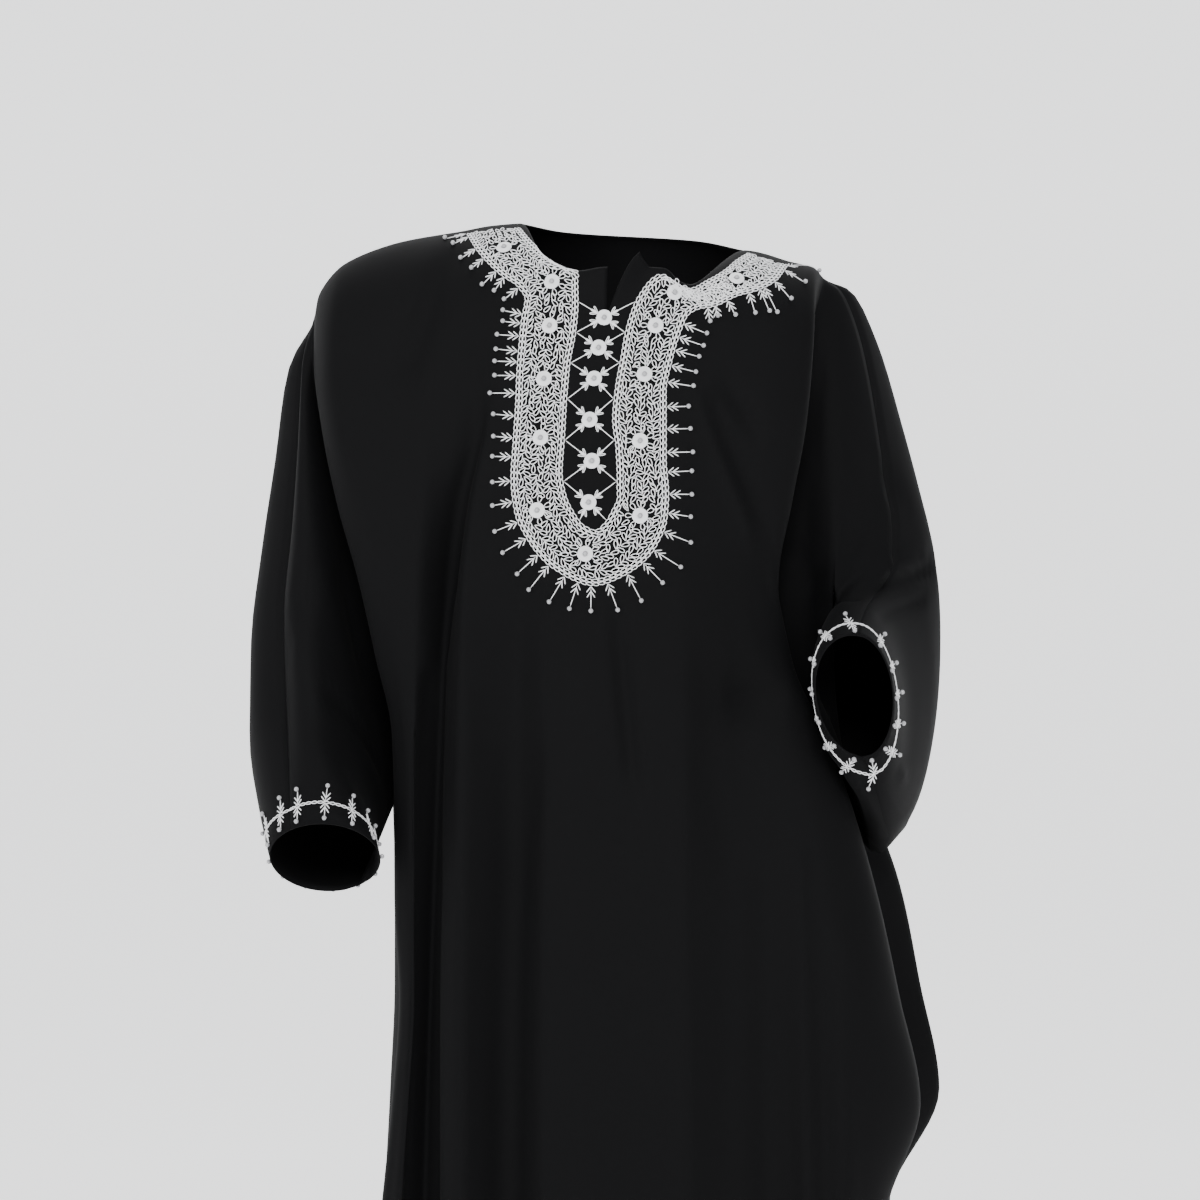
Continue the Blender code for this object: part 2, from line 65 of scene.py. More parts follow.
# Fold lines of the front: name, steps to the next line, top x, top y, top z, x and y per height
FRONT = (
    ("side_left", 3, -258, 6, -62,
     (-258, -246, -222, -200, -182, -168, -170, -176, -174, -181, -192, -236),
     (-16, -14, -12, -8, -2, 6, 14, 22, 26, 26, 22, 15)),
    ("edge_left", 2, -255, 4, -47,
     (-256, -248, -233, -213, -197, -182, -180, -180, -176, -183, -194, -240),
     (-30, -48, -60, -68, -72, -74, -72, -66, -62, -60, -60, -50)),
    ("hollow_left", 2, -234, 2, -19,
     (-236, -231, -215, -197, -184, -173, -171, -171, -169, -175, -185, -228),
     (-70, -82, -88, -92, -92, -90, -87, -82, -78, -76, -75, -64)),
    ("ridge_a", 2, -179, 0, 4,
     (-146, -151, -155, -159, -159, -159, -159, -160, -161, -166, -173, -205),
     (-92, -104, -110, -110, -106, -100, -95, -90, -86, -84, -84, -76)),
    ("valley_a", 2, -121, -2, 14,
     (-106, -105, -121, -129, -134, -138, -141, -144, -147, -150, -153, -172),
     (-101, -107, -97, -86, -80, -74, -70, -66, -62, -58, -56, -44)),
    ("ridge_b", 3, -93, -4, 19,
     (-84, -92, -104, -113, -116, -118, -119, -120, -121, -121, -121, -132),
     (-105, -113, -117, -117, -114, -110, -107, -105, -103, -102, -101, -98)),
    ("valley_b", 4, -66, -5, 21,
     (-57, -56, -63, -68, -70, -70, -70, -70, -72, -73, -74, -84),
     (-108, -116, -119, -115, -104, -97, -92, -88, -85, -83, -82, -72)),
    ("flat_left", 2, -44, -85, -17,
     (-30, -29, -32, -36, -39, -40, -40, -40, -41, -41, -41, -46),
     (-110, -118, -121, -122, -119, -115, -113, -112, -111, -111, -111, -113)),
    ("inner_left", 2, -13, -100, -32,
     (-8, -9, -13, -11, -8, -6, -4, -3, -3, -2, -2, 0),
     (-111, -119, -122, -124, -121, -118, -117, -116, -115, -115, -115, -118)),
    ("centre", 2, 14, -105, -29,
     (12, 8, 3, 10, 18, 27, 34, 36, 37, 37, 38, 42),
     (-112, -120, -123, -124, -120, -117, -116, -116, -115, -115, -115, -116)),
    ("inner_right", 2, 58, -105, -30,
     (48, 43, 43, 46, 51, 54, 56, 58, 59, 60, 61, 70),
     (-111, -119, -122, -123, -121, -119, -118, -117, -116, -116, -116, -117)),
    ("flat_right", 3, 88, -95, -44,
     (77, 72, 72, 76, 80, 82, 82, 82, 85, 87, 88, 105),
     (-108, -117, -120, -121, -120, -118, -117, -116, -115, -114, -113, -112)),
    ("valley_c", 3, 141, -5, -4,
     (125, 117, 117, 122, 128, 135, 143, 150, 155, 159, 162, 185),
     (-103, -112, -112, -108, -104, -99, -100, -101, -98, -94, -91, -80)),
    ("ridge_c", 3, 183, 0, -14,
     (172, 163, 151, 143, 153, 175, 196, 211, 228, 227, 221, 258),
     (-95, -104, -104, -100, -98, -94, -97, -99, -100, -100, -100, -98)),
    ("edge_right", 3, 205, 4, -19,
     (200, 194, 181, 169, 181, 212, 238, 261, 281, 301, 267, 322),
     (-78, -84, -86, -84, -76, -70, -64, -58, -52, -45, -55, -50)),
    ("side_right", 0, 216, 6, -29,
     (194, 185, 170, 158, 172, 206, 231, 254, 276, 298, 262, 318),
     (-24, -24, -22, -20, -14, 2, 18, 27, 32, 30, 22, 15)),
)

# Fold lines of the back between the two sides: name, front line it meets at the top,
# steps to the next line, x and y per height
BACK = (
    ("back_edge_left", "hollow_left", 4,
     (-232, -230, -222, -212, -202, -194, -190, -188, -188, -192, -198, -230),
     (52, 66, 74, 77, 77, 75, 72, 70, 68, 66, 66, 62)),
    ("back_fold_left", "valley_a", 4,
     (-128, -130, -132, -134, -134, -134, -134, -134, -136, -138, -140, -160),
     (82, 94, 100, 100, 98, 96, 95, 94, 92, 90, 88, 84)),
    ("back_neck_left", "valley_b", 4,
     (-66, -66, -67, -68, -68, -68, -68, -68, -70, -72, -74, -84),
     (88, 100, 106, 108, 110, 112, 112, 112, 112, 112, 112, 116)),
    ("back_centre", None, 4,
     (34, 34, 34, 34, 34, 34, 34, 36, 37, 38, 38, 42),
     (86, 98, 104, 104, 102, 100, 98, 97, 96, 94, 94, 92)),
    ("back_neck_right", "valley_c", 3,
     (138, 136, 134, 132, 132, 134, 138, 146, 152, 158, 162, 184),
     (84, 97, 104, 108, 110, 112, 113, 113, 113, 112, 112, 116)),
    ("back_fold_right", "ridge_c", 3,
     (176, 170, 164, 160, 164, 178, 196, 216, 230, 240, 222, 262),
     (70, 84, 92, 94, 94, 92, 90, 88, 86, 84, 86, 80)),
    ("back_edge_right", "edge_right", 3,
     (204, 196, 186, 180, 190, 222, 262, 292, 310, 328, 281, 328),
     (50, 62, 70, 74, 74, 68, 62, 58, 54, 50, 52, 44)),
)
NECK_BACK = ((-66, -5, 21), (-24, 52, 19), (36, 70, 17), (100, 54, 11), (141, -5, -4))

# Long creases and hollows on the front: from x, from z, to x, to z, half width, height
CREASES = (
    (-132, -26, -164, -117, 15, -5),
    (95, -150, 172, -326, 8, 5),
    (107, -156, 166, -296, 7, -4),
    (134, -172, 164, -312, 9, -5),
    (119, -136, 151, -179, 8, -3),
    (148, -402, 150, -414, 26, -8),
    (23, -339, 36, -486, 8, -3),
)

ROW_Z = (
    -110, -135, -160, -185, -210, -237, -264, -291, -318, -345, -372, -399, -426, -453, -480,
    -515, -550, -585, -620, -655, -690, -725, -758, -790, -822, -856, -892, -930, -970, -1015,
    -1065, -1120, -1180, -1240, -1300, -1360, -1420,
)
TOP_ROWS = 7
SLIT_ROWS = 5  # the neck slit runs from the neckline to this row
UNDERARM_LEFT_Z, UNDERARM_RIGHT_Z = -480, -550
FOLD_CLEAR = 8  # between the right sleeve and the fold edge of the body
SLIT_OPEN = 29  # how far the right flap of the slit stands open at the neckline

# Sleeve rings from the shoulder to the cuff: points over, in front, under and behind the arm
RINGS_LEFT = (
    ((-266, -2, -106), (-230, -30, -300), (-176, 12, -497), (-262, 48, -290)),
    ((-271, -12, -184), (-230, -46, -345), (-182, 8, -512), (-277, 50, -335)),
    ((-277, -22, -262), (-230, -60, -392), (-188, 0, -527), (-291, 42, -385)),
    ((-283, -40, -340), (-229, -76, -436), (-194, -14, -543), (-300, 20, -440)),
    ((-279, -60, -420), (-223, -94, -474), (-200, -34, -559), (-303, -12, -492)),
    ((-272, -105, -484), (-210, -117, -508), (-206, -58, -574), (-293, -58, -540)),
    ((-267, -146, -532), (-198, -136, -541), (-211, -84, -587), (-280, -94, -578)),
)
RINGS_RIGHT = (
    ((231, 4, -40), (196, -28, -290), (244, 24, -556), (262, 58, -280)),
    ((247, 0, -78), (208, -36, -306), (251, 20, -561), (286, 66, -300)),
    ((259, -6, -134), (216, -42, -330), (258, 12, -562), (304, 66, -330)),
    ((268, -12, -196), (220, -46, -355), (269, 0, -564), (320, 58, -352)),
    ((277, -18, -262), (214, -52, -385), (272, -18, -557), (328, 40, -372)),
    ((274, -26, -304), (206, -62, -402), (272, -40, -546), (321, 12, -398)),
    ((260, -52, -322), (200, -80, -408), (266, -66, -530), (306, -20, -414)),
    ((249, -82, -334), (197, -104, -408), (258, -92, -508), (288, -58, -422)),
    ((241, -112, -348), (197, -124, -408), (250, -108, -486), (277, -98, -420)),
    ((236, -136, -360), (198, -138, -408), (241, -120, -469), (269, -128, -416)),
)

# Embroidered band round the neck and down the chest, station by station from the left
# shoulder to the right one: outer edge x, z and inner edge x, z
BAND = (
    (-116, 8, -66, 13), (-104, -12, -53, -4), (-84, -34, -39, -17), (-69, -45, -25, -26),
    (-61, -59, -13, -35), (-64, -79, -12, -61), (-66, -99, -14, -87), (-68, -126, -19, -115),
    (-69, -153, -22, -149), (-71, -185, -24, -183), (-73, -219, -26, -213), (-70, -248, -23, -233),
    (-58, -275, -16, -249), (-36, -300, -8, -260), (1, -316, 2, -265), (36, -303, 10, -260),
    (57, -282, 17, -249), (67, -258, 22, -236), (69, -234, 22, -219), (67, -203, 21, -194),
    (67, -171, 18, -167), (67, -143, 20, -142), (73, -111, 25, -113), (80, -88, 30, -86),
    (87, -73, 40, -58), (97, -67, 60, -37), (111, -64, 85, -48), (132, -54, 104, -39),
    (151, -48, 119, -29), (167, -39, 131, -18), (180, -22, 142, -10),
)
BAND_POINTS = 601  # on each edge line

SMALL_FOLDS = (  # from x, y, z, to x, y, z, half width, height along the cloth's own face
    (-159, -104, -370, -160, -62, -1400, 10, -8),
    (-146, -92, -400, -146, -62, -1400, 9, -10),
    (-131, -92, -330, -130, -86, -1400, 7, 6),
    (-112, -110, -420, -124, -98, -1400, 12, 4),
    (-76, -96, -470, -82, -80, -1400, 14, -5),
    (81, -117, -480, 92, -114, -1400, 12, 4),
    (120, -112, -520, 130, -110, -1400, 12, -3),
    (156, -101, -580, 172, -92, -1400, 14, -6),
    (187, -99, -563, 206, -97, -1400, 8, 6),
    (206, -98, -640, 222, -96, -1400, 7, -4),
    (223, -100, -689, 244, -96, -1400, 9, 5),
    (-29, -121, -364, -65, -90, -599, 16, -3),
    (97, -116, -364, 115, -108, -562, 18, -3),
    (23, -122, -339, 36, -116, -485, 7, -3),
    (95, -114, -153, 172, -60, -320, 8, 4),
    (112, -110, -170, 166, -88, -330, 8, -4),
    (135, -106, -172, 164, -91, -310, 7, 3),
    (119, -107, -136, 151, -105, -179, 7, -3),
    (120, -105, -409, 179, -89, -419, 24, -6),
    (-134, -62, -17, -164, -89, -116, 13, -5),
    (-110, -80, -60, -104, -106, -170, 16, -4),
    (-145, -87, -88, -160, -109, -330, 10, 4),
    (-103, -107, -162, -131, -82, -370, 10, -5),
    (-239, -77, -411, -190, -20, -495, 9, -6),
    (-252, -72, -398, -204, -40, -490, 8, 5),
    (-260, -62, -318, -276, -63, -370, 11, -5),
    (-232, -31, -292, -205, -28, -421, 12, -5),
    (319, 25, -300, 239, -68, -326, 8, -6),
    (310, 12, -286, 238, -60, -312, 8, 5),
    (239, -68, -326, 192, -28, -340, 7, -5),
    (255, -31, -266, 199, -28, -319, 9, -6),
    (310, 3, -329, 261, -79, -343, 6, -4),
    (291, 2, -235, 254, -24, -209, 9, -4),
    (241, 5, -513, 280, -68, -488, 8, 6),
    (226, -70, -482, 268, -80, -474, 6, -5),
    (206, -84, -462, 230, -104, -486, 6, -4),
)

ROSETTES_DOWN = ((11, -75), (6, -102), (2, -130), (-2, -167), (0, -204), (-3, -241))
ROSETTES_ROUND = (
    (-80, -8), (-36, -42), (-38, -82), (-43, -130), (-46, -183), (-49, -248), (-6, -287),
    (43, -253), (43, -186), (47, -126), (57, -82), (74, -52), (131, -37),
)
# Beads at the ends of the sprigs round the band, from the left shoulder to the right one
BEADS = (
    (-135, 3), (-127, -3), (-119, -18), (-109, -28), (-99, -44), (-88, -50), (-79, -58),
    (-80, -68), (-80, -78), (-85, -90), (-86, -103), (-87, -114), (-87, -127), (-91, -143),
    (-88, -162), (-88, -182), (-89, -200), (-89, -223), (-89, -244), (-87, -267), (-80, -286),
    (-67, -305), (-56, -319), (-38, -330), (-20, -336), (-1, -338), (23, -337), (44, -329),
    (63, -313), (79, -299), (88, -277), (88, -254), (89, -234), (89, -213), (90, -196),
    (88, -175), (87, -155), (91, -137), (93, -124), (96, -110), (100, -100), (103, -89),
    (106, -78), (113, -73), (129, -72), (147, -70), (160, -68), (167, -69), (180, -56),
    (194, -39), (210, -23),
)

THREAD = 0.48  # half thickness of the thread
STEM = 0.5  # half thickness of a straight stitch
SPIRAL = 0.66  # half thickness of the rosettes' thread
LOOP_POINTS = 10  # on the round of a loop
FIELD_LOOP = (8.6, 3.9)  # length and width, here and below
EDGE_LOOP = (7.4, 3.4)
PETAL_LOOP = (7.8, 4.4)
LATTICE_LOOP = (8.2, 2.2)
CUFF_LOOP = (6.6, 3.0)
CHAIN_STEP = 5.4
EDGE_ROWS = (1.8, 4.9)  # chains that follow each edge of the band
FIELD_EDGE, FIELD_STEP, FIELD_ROWS = 6.2, 5.6, 6  # the leaf stitches keep this far from the edges
FIELD_TURN, FIELD_SPREAD = 0.62, 0.38  # turn from the run of the band in radians, and its spread
FIELD_DRIFT = 0.6 * MM  # how far a leaf stitch strays from its row
ROSETTE, ROSETTE_TURNS, PETALS, DIMPLE = 6.9, 4, 7, 2.2
ROSETTE_CLEAR = 3.6  # the leaf stitches keep this far from a rosette
LATTICE_TURNS = (-0.55, 0, 0.55)  # of the leaves beside a stem, in radians
LATTICE_TOP, LATTICE_FOOT = -61, -257
SPRIG_PAIRS = ((0.6, 0.66, 7.4), (4.6, 0.56, 7.6))  # place on the stem, turn, length of the leaves
SPRIG_LEAF_WIDE, BEAD = 1.2, 2.2
CUFF_LINE, CUFF_STEP, CUFF_SPRIG = 22, 26, 17  # height over the cuff, step, length of a sprig

CAMERA_PLACE, CAMERA_LENS = (0.0072, -3.1, -0.3285), 100
LAMP_AIM = (0.02, 0, -0.45)
SKY_COLOR, SKY_STRENGTH = (0.9, 0.92, 0.95, 1), 0.8
PAPER_GLOW = 0.9


def smooth_through(knots, values, wanted):
    """Piecewise cubic through the values that never rises above or falls below its knots."""
    knots, values = np.asarray(knots, float), np.asarray(values, float)
    wanted = np.clip(np.asarray(wanted, float), knots[0], knots[-1])
    gap = np.diff(knots)
    slope = np.diff(values) / gap
    tangent = np.zeros_like(values)
    tangent[0], tangent[-1] = slope[0], slope[-1]
    for i in range(1, len(knots) - 1):
        if slope[i - 1] * slope[i] > 0:
            before, after = 2 * gap[i] + gap[i - 1], gap[i] + 2 * gap[i - 1]
            tangent[i] = (before + after) / (before / slope[i - 1] + after / slope[i])
    cell = np.clip(np.searchsorted(knots, wanted, "right") - 1, 0, len(gap) - 1)
    t = (wanted - knots[cell]) / gap[cell]
    return (
        (1 + 2 * t) * (1 - t) ** 2 * values[cell]
        + t * (1 - t) ** 2 * gap[cell] * tangent[cell]
        + t * t * (3 - 2 * t) * values[cell + 1]
        + t * t * (t - 1) * gap[cell] * tangent[cell + 1]
    )


def down_line(top, xs, ys, zs):
    """Points of one fold line at heights zs, where zs[0] is its top; it rolls off the shoulder."""
    x_top, y_top, z_top = top
    rising = [-z for z in (z_top,) + LEVELS]
    x = smooth_through(rising, (x_top,) + tuple(xs), -zs)
    y = smooth_through([-z for z in LEVELS], ys, -np.minimum(zs, FIRST_LEVEL))
    t = np.clip((z_top - zs) / (z_top - FIRST_LEVEL), 0, 1)
    rolled = np.sqrt(np.clip(1 - (1 - t) ** 2, 0, 1))
    return np.stack([x, y_top + (y - y_top) * rolled, zs], axis=-1)


def finer(values, steps):
    """The values with that many steps between each two."""
    count = (len(values) - 1) * steps
    return np.interp(np.arange(count + 1) / steps, np.arange(len(values)), values)


def row_heights(z_top):
    """Heights of all rows of a line that starts at z_top."""
    share = (np.arange(TOP_ROWS) / TOP_ROWS) ** 1.7
    coarse = np.concatenate([z_top + (FIRST_LEVEL - z_top) * share, np.array(ROW_Z, float)])
    return finer(coarse, FINER_DOWN)


def across(lines, columns):
    """Rows of points spread over the fold lines; columns are places along the line numbers."""
    numbers = np.arange(len(lines))
    stack = np.array(lines)
    out = np.empty((len(columns), stack.shape[1], 3))
    for row in range(stack.shape[1]):
        for axis in range(3):
            out[:, row, axis] = smooth_through(numbers, stack[:, row, axis], columns)
    return out


def stepped(steps):
    """Places along the line numbers, with the given number of steps after each line."""
    steps = [count * FINER_ACROSS for count in steps]
    places = [0.0]
    for number, count in enumerate(steps):
        places += [number + (i + 1) / count for i in range(count)]
    return np.array(places)


def crease_height(x, z):
    """How far the creases lift the front at (x, z)."""
    total = np.zeros_like(x)
    for x0, z0, x1, z1, half, height in CREASES:
        run, rise = x1 - x0, z1 - z0
        along = ((x - x0) * run + (z - z0) * rise) / (run * run + rise * rise)
        held = np.clip(along, 0, 1)
        off = np.hypot(x - x0 - held * run, z - z0 - held * rise)
        faded = np.sqrt(np.sin(np.pi * (0.08 + 0.84 * held)))
        total += height * np.exp(-((off / half) ** 2)) * faded
    return total


def front_points():
    """The front between its two sides: columns of points from the shoulder down."""
    lines = [down_line(top, xs, ys, row_heights(top[2]))
             for top, xs, ys in (((f[2], f[3], f[4]), f[5], f[6]) for f in FRONT)]
    points = across(lines, stepped([f[1] for f in FRONT[:-1]]))
    points[..., 1] -= crease_height(points[..., 0], points[..., 2])
    return points


def seam_column(name):
    """Column number of the front at the named fold line."""
    return FINER_ACROSS * sum(f[1] for f in FRONT[: [f[0] for f in FRONT].index(name)])


def arm_back(front_line, rows):
    """The back of an armhole: the front line moved back, and the same line below the underarm."""
    line = front_line.copy()
    share = np.clip(np.arange(len(line)) / rows, 0, 1)
    line[:, 1] += 66 * np.sqrt(np.sin(np.pi * share))
    return line


def back_points(front, left_rows, right_rows):
    """The back between its two sides, with the shoulder line of the front and its own neck."""
    left, right = seam_column("valley_b"), seam_column("valley_c")
    last = front.shape[0] - 1
    lines, places = [arm_back(front[0], left_rows)], [0.0]
    for name, meets, steps, xs, ys in BACK:
        top = front[seam_column(meets), 0] if meets else np.array(NECK_BACK[2], float)
        lines.append(down_line(top, xs, ys, row_heights(top[2])))
    lines.append(arm_back(front[last], right_rows))
    shoulder_left = [seam_column(b[1]) for b in BACK[:3]]
    shoulder_right = [seam_column(b[1]) for b in BACK[4:]] + [last]
    steps = [shoulder_left[0]] + list(np.diff(shoulder_left)) + [4 * FINER_ACROSS] * 2
    steps = [int(count) // FINER_ACROSS for count in steps + list(np.diff(shoulder_right))]
    points = across(lines, stepped(steps))
    points[: left + 1, 0] = front[: left + 1, 0]
    points[-(last - right + 1):, 0] = front[right:, 0]
    neck = np.array(NECK_BACK, float)
    neck_steps = 8 * FINER_ACROSS
    for k in range(neck_steps + 1):
        for axis in range(3):
            value = smooth_through(np.arange(5), neck[:, axis], [4 * k / neck_steps])[0]
            points[left + k, 0, axis] = value
    top_rows = TOP_ROWS * FINER_DOWN
    for k in range(1, neck_steps):
        column = points[left + k]
        top, below = column[0].copy(), column[top_rows].copy()
        heights = row_heights(top[2])[:top_rows]
        t = (top[2] - heights) / (top[2] - FIRST_LEVEL)
        rolled = np.sqrt(1 - (1 - t) ** 2)
        column[:top_rows, 0] = top[0] + (below[0] - top[0]) * t
        column[:top_rows, 1] = top[1] + (below[1] - top[1]) * rolled
        column[:top_rows, 2] = heights
    return points


def half_ring(over, middle, under, turns, fullness):
    """Half of a ring from the point over the arm to the point under it; 1 makes it oval."""
    over, middle, under = (np.array(p, float) for p in (over, middle, under))
    angle = np.pi * turns[:, None] / 2
    bulge = middle - (over + under) / 2
    straight = over * np.cos(angle) ** 2 + under * np.sin(angle) ** 2
    return straight + bulge * np.sin(2 * angle) ** fullness


def beside_fold(points):
    """Keeps the right sleeve outside the fold edge of the body that hangs beside it."""
    edge = FRONT[-2]
    heights = np.clip(points[..., 2], LEVELS[-1], LEVELS[0])
    limit = smooth_through([-z for z in LEVELS], edge[5], -heights) + FOLD_CLEAR
    limit = limit - 1.2 * np.clip(-84 - points[..., 1], 0, 200)
    limit = limit - np.clip(points[..., 1] - 20, 0, 200)
    points[..., 0] = np.maximum(points[..., 0], limit)
    return points


def sleeve_points(armhole, rings, side):
    """Rings of one sleeve half, from the armhole line to the cuff."""
    height = armhole[0, 2] - armhole[-1, 2]
    turns = 2 / np.pi * np.arcsin(np.sqrt(np.clip((armhole[0, 2] - armhole[:, 2]) / height, 0, 1)))
    middle = 1 if side == "front" else 3
    boxy = 1 if rings is RINGS_RIGHT and side == "front" else 0.62
    fullness = [boxy + (1 - boxy) * (i / len(rings)) ** 2 for i in range(1, len(rings) + 1)]
    halves = np.array([half_ring(ring[0], ring[middle], ring[2], turns, full)
                       for ring, full in zip(rings, fullness)])
    if rings is RINGS_RIGHT and side == "front":
        halves = beside_fold(halves)
    coarse = np.concatenate([armhole[None], halves])
    wanted = np.linspace(0, len(rings), len(rings) * FINER_RINGS + 1)
    numbers = np.arange(len(rings) + 1)
    out = np.empty((len(wanted),) + coarse.shape[1:])
    for j in range(coarse.shape[1]):
        for axis in range(3):
            out[:, j, axis] = smooth_through(numbers, coarse[:, j, axis], wanted)
    return out


class Cloth:
    """Points shared by both panels, and the faces of each panel."""

    def __init__(self):
        self.places, self.number, self.faces = [], {}, {}

    def point(self, key, place):
        if key not in self.number:
            self.number[key] = len(self.places)
            self.places.append(place)
        return self.number[key]

    def grid(self, panel, numbers, outward):
        """Four-sided faces over a grid of point numbers; outward is 1 or -1 for their way."""
        for a, b in zip(numbers, numbers[1:]):
            for i in range(len(a) - 1):
                corners = [a[i], b[i], b[i + 1], a[i + 1]][::outward]
                self.faces.setdefault(panel, []).append(corners)


def garment():
    """The cloth surface in metres: points and the faces of each panel."""
    front = front_points()
    last = front.shape[0] - 1
    row_of = {z: (TOP_ROWS + i) * FINER_DOWN for i, z in enumerate(ROW_Z)}
    left_rows, right_rows = row_of[UNDERARM_LEFT_Z], row_of[UNDERARM_RIGHT_Z]
    back = back_points(front, left_rows, right_rows)
    back_last = back.shape[0] - 1
    slit, neck_left, neck_right = (seam_column(n) for n in ("centre", "valley_b", "valley_c"))
    slit_rows = SLIT_ROWS * FINER_DOWN
    cloth = Cloth()

    def front_number(c, r, right_of_slit=False):
        place = front[c, r].copy()
        opened = SLIT_OPEN * max(0.0, 1 - r / slit_rows)
        if right_of_slit and opened:
            return cloth.point(("slit", r), place + opened * np.array((1, -0.3, 0.42)))
        if opened and c > slit:
            away = (c - slit) / FINER_ACROSS
            aside = np.interp(away, range(5), (1, 0.55, 0.2, 0.05, 0))
            lifted = max(0, 1 - away)
            place = place + opened * np.array((aside, -0.3 * lifted, 0.42 * lifted))
        return cloth.point(("front", c, r), place)

    def back_number(c, r):
        if c == 0 and (r == 0 or r >= left_rows):
            return front_number(0, r)
        if c == back_last and (r == 0 or r >= right_rows):
            return front_number(last, r)
        if r == 0 and c <= neck_left:
            return front_number(c, 0)
        if r == 0 and back_last - c <= last - neck_right:
            return front_number(last - (back_last - c), 0)
        return cloth.point(("back", c, r), back[c, r])

    rows = range(front.shape[1])
    for c in range(last):
        after = [front_number(c + 1, r) for r in rows]
        before = [front_number(c, r, right_of_slit=c == slit) for r in rows]
        cloth.grid("front", [before, after], -1)
    for c in range(back_last):
        cloth.grid("back", [[back_number(c, r) for r in rows],
                            [back_number(c + 1, r) for r in rows]], 1)
    cuffs = {}
    for side, rings, column, back_column, count, way in (
        ("left", RINGS_LEFT, 0, 0, left_rows, 1),
        ("right", RINGS_RIGHT, last, back_last, right_rows, -1),
    ):
        for panel, body, number, col in (
            ("front", front, front_number, column),
            ("back", back, back_number, back_column),
        ):
            points = sleeve_points(body[col, : count + 1], rings, panel)
            cuffs[side, panel] = points
            numbers = [[number(col, r) for r in range(count + 1)]]
            for i in range(1, len(points)):
                line = []
                for j in range(count + 1):
                    shared = {0: "over", count: "under"}.get(j, panel)
                    line.append(cloth.point((side, shared, i, j), points[i, j]))
                numbers.append(line)
            cloth.grid(panel, numbers, way if panel == "front" else -way)
    return np.array(cloth.places) * MM, {k: np.array(v) for k, v in cloth.faces.items()}, cuffs


def point_normals(places, faces):
    """The way the cloth faces at each point."""
    across = np.cross(places[faces[:, 2]] - places[faces[:, 0]],
                      places[faces[:, 3]] - places[faces[:, 1]])
    total = np.zeros_like(places)
    for k in range(4):
        np.add.at(total, faces[:, k], across)
    return total / np.maximum(np.linalg.norm(total, axis=1), 1e-12)[:, None]


def folded(places, normals):
    """The cloth with its smaller creases: each runs between two points, in millimetres."""
    lift = np.zeros(len(places))
    for x0, y0, z0, x1, y1, z1, half, height in SMALL_FOLDS:
        start, end = np.array((x0, y0, z0)) * MM, np.array((x1, y1, z1)) * MM
        run = end - start
        along = np.clip((places - start) @ run / run.dot(run), 0, 1)
        off = np.linalg.norm(places - start - along[:, None] * run, axis=1) / (half * MM)
        lift += height * MM * np.exp(-off**2) * np.sqrt(np.sin(np.pi * (0.06 + 0.88 * along)))
    return places + normals * lift[:, None]


def smooth_object(name, places, faces):
    mesh = bpy.data.meshes.new(name)
    mesh.from_pydata(np.asarray(places).tolist(), [], np.asarray(faces).tolist())
    mesh.update()
    mesh.shade_smooth()
    obj = bpy.data.objects.new(name, mesh)
    bpy.context.scene.collection.objects.link(obj)
    return obj


def cloth_object(name, places, faces):
    obj = smooth_object(name, places, faces)
    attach(obj, "root")
    return obj


def shader(name, color, roughness, **sockets):
    """A material and its main node; sockets are further inputs, with spaces as underscores."""
    material = bpy.data.materials.new(name)
    material.use_nodes = True
    bsdf = material.node_tree.nodes["Principled BSDF"]
    bsdf.inputs["Base Color"].default_value = (*color, 1)
    bsdf.inputs["Roughness"].default_value = roughness
    for key, value in sockets.items():
        bsdf.inputs[key.replace("_", " ")].default_value = value
    return material, bsdf


def crepe():
    """Soft black crepe: a fine pebbled grain and a faint bloom."""
    material, bsdf = shader("black_crepe", (0.003, 0.003, 0.0033), 0.7,
                            Sheen_Weight=0.007, Sheen_Roughness=0.55, Specular_IOR_Level=0.06)
    tree = material.node_tree
    place = tree.nodes.new("ShaderNodeTexCoord")
    grain = tree.nodes.new("ShaderNodeTexNoise")
    grain.inputs["Scale"].default_value = 1400
    grain.inputs["Detail"].default_value = 2
    bump = tree.nodes.new("ShaderNodeBump")
    bump.inputs["Strength"].default_value = 0.25
    bump.inputs["Distance"].default_value = 0.0003
    tree.links.new(place.outputs["Object"], grain.inputs["Vector"])
    tree.links.new(grain.outputs["Fac"], bump.inputs["Height"])
    tree.links.new(bump.outputs["Normal"], bsdf.inputs["Normal"])
    return material


class Ground:
    """The cloth that the thread lies on. Lengths here are in metres."""

    def __init__(self, *objects):
        places, faces = [], []
        for obj in objects:
            start = len(places)
            places += [v.co.copy() for v in obj.data.vertices]
            faces += [tuple(n + start for n in p.vertices) for p in obj.data.polygons]
        self.tree = BVHTree.FromPolygons(places, faces)

    def seen(self, flat):
        """Places on the cloth at flat (x, z) in millimetres, looked at from the front."""
        out = []
        for x, z in np.asarray(flat) * MM:
            for drop in range(40):
                place, normal, _, _ = self.tree.ray_cast(Vector((x, -0.3, z - drop * MM)),
                                                         Vector((0, 1, 0)))
                if place and normal.y < -0.04:
                    break
            out.append(place)
        return np.array(out)

    def nearest(self, places):
        """The nearest places on the cloth and the way it faces there."""
        found = [self.tree.find_nearest(Vector(p))[:2] for p in places.reshape(-1, 3)]
        spots = np.array([f[0] for f in found]).reshape(places.shape)
        return spots, np.array([f[1] for f in found]).reshape(places.shape)


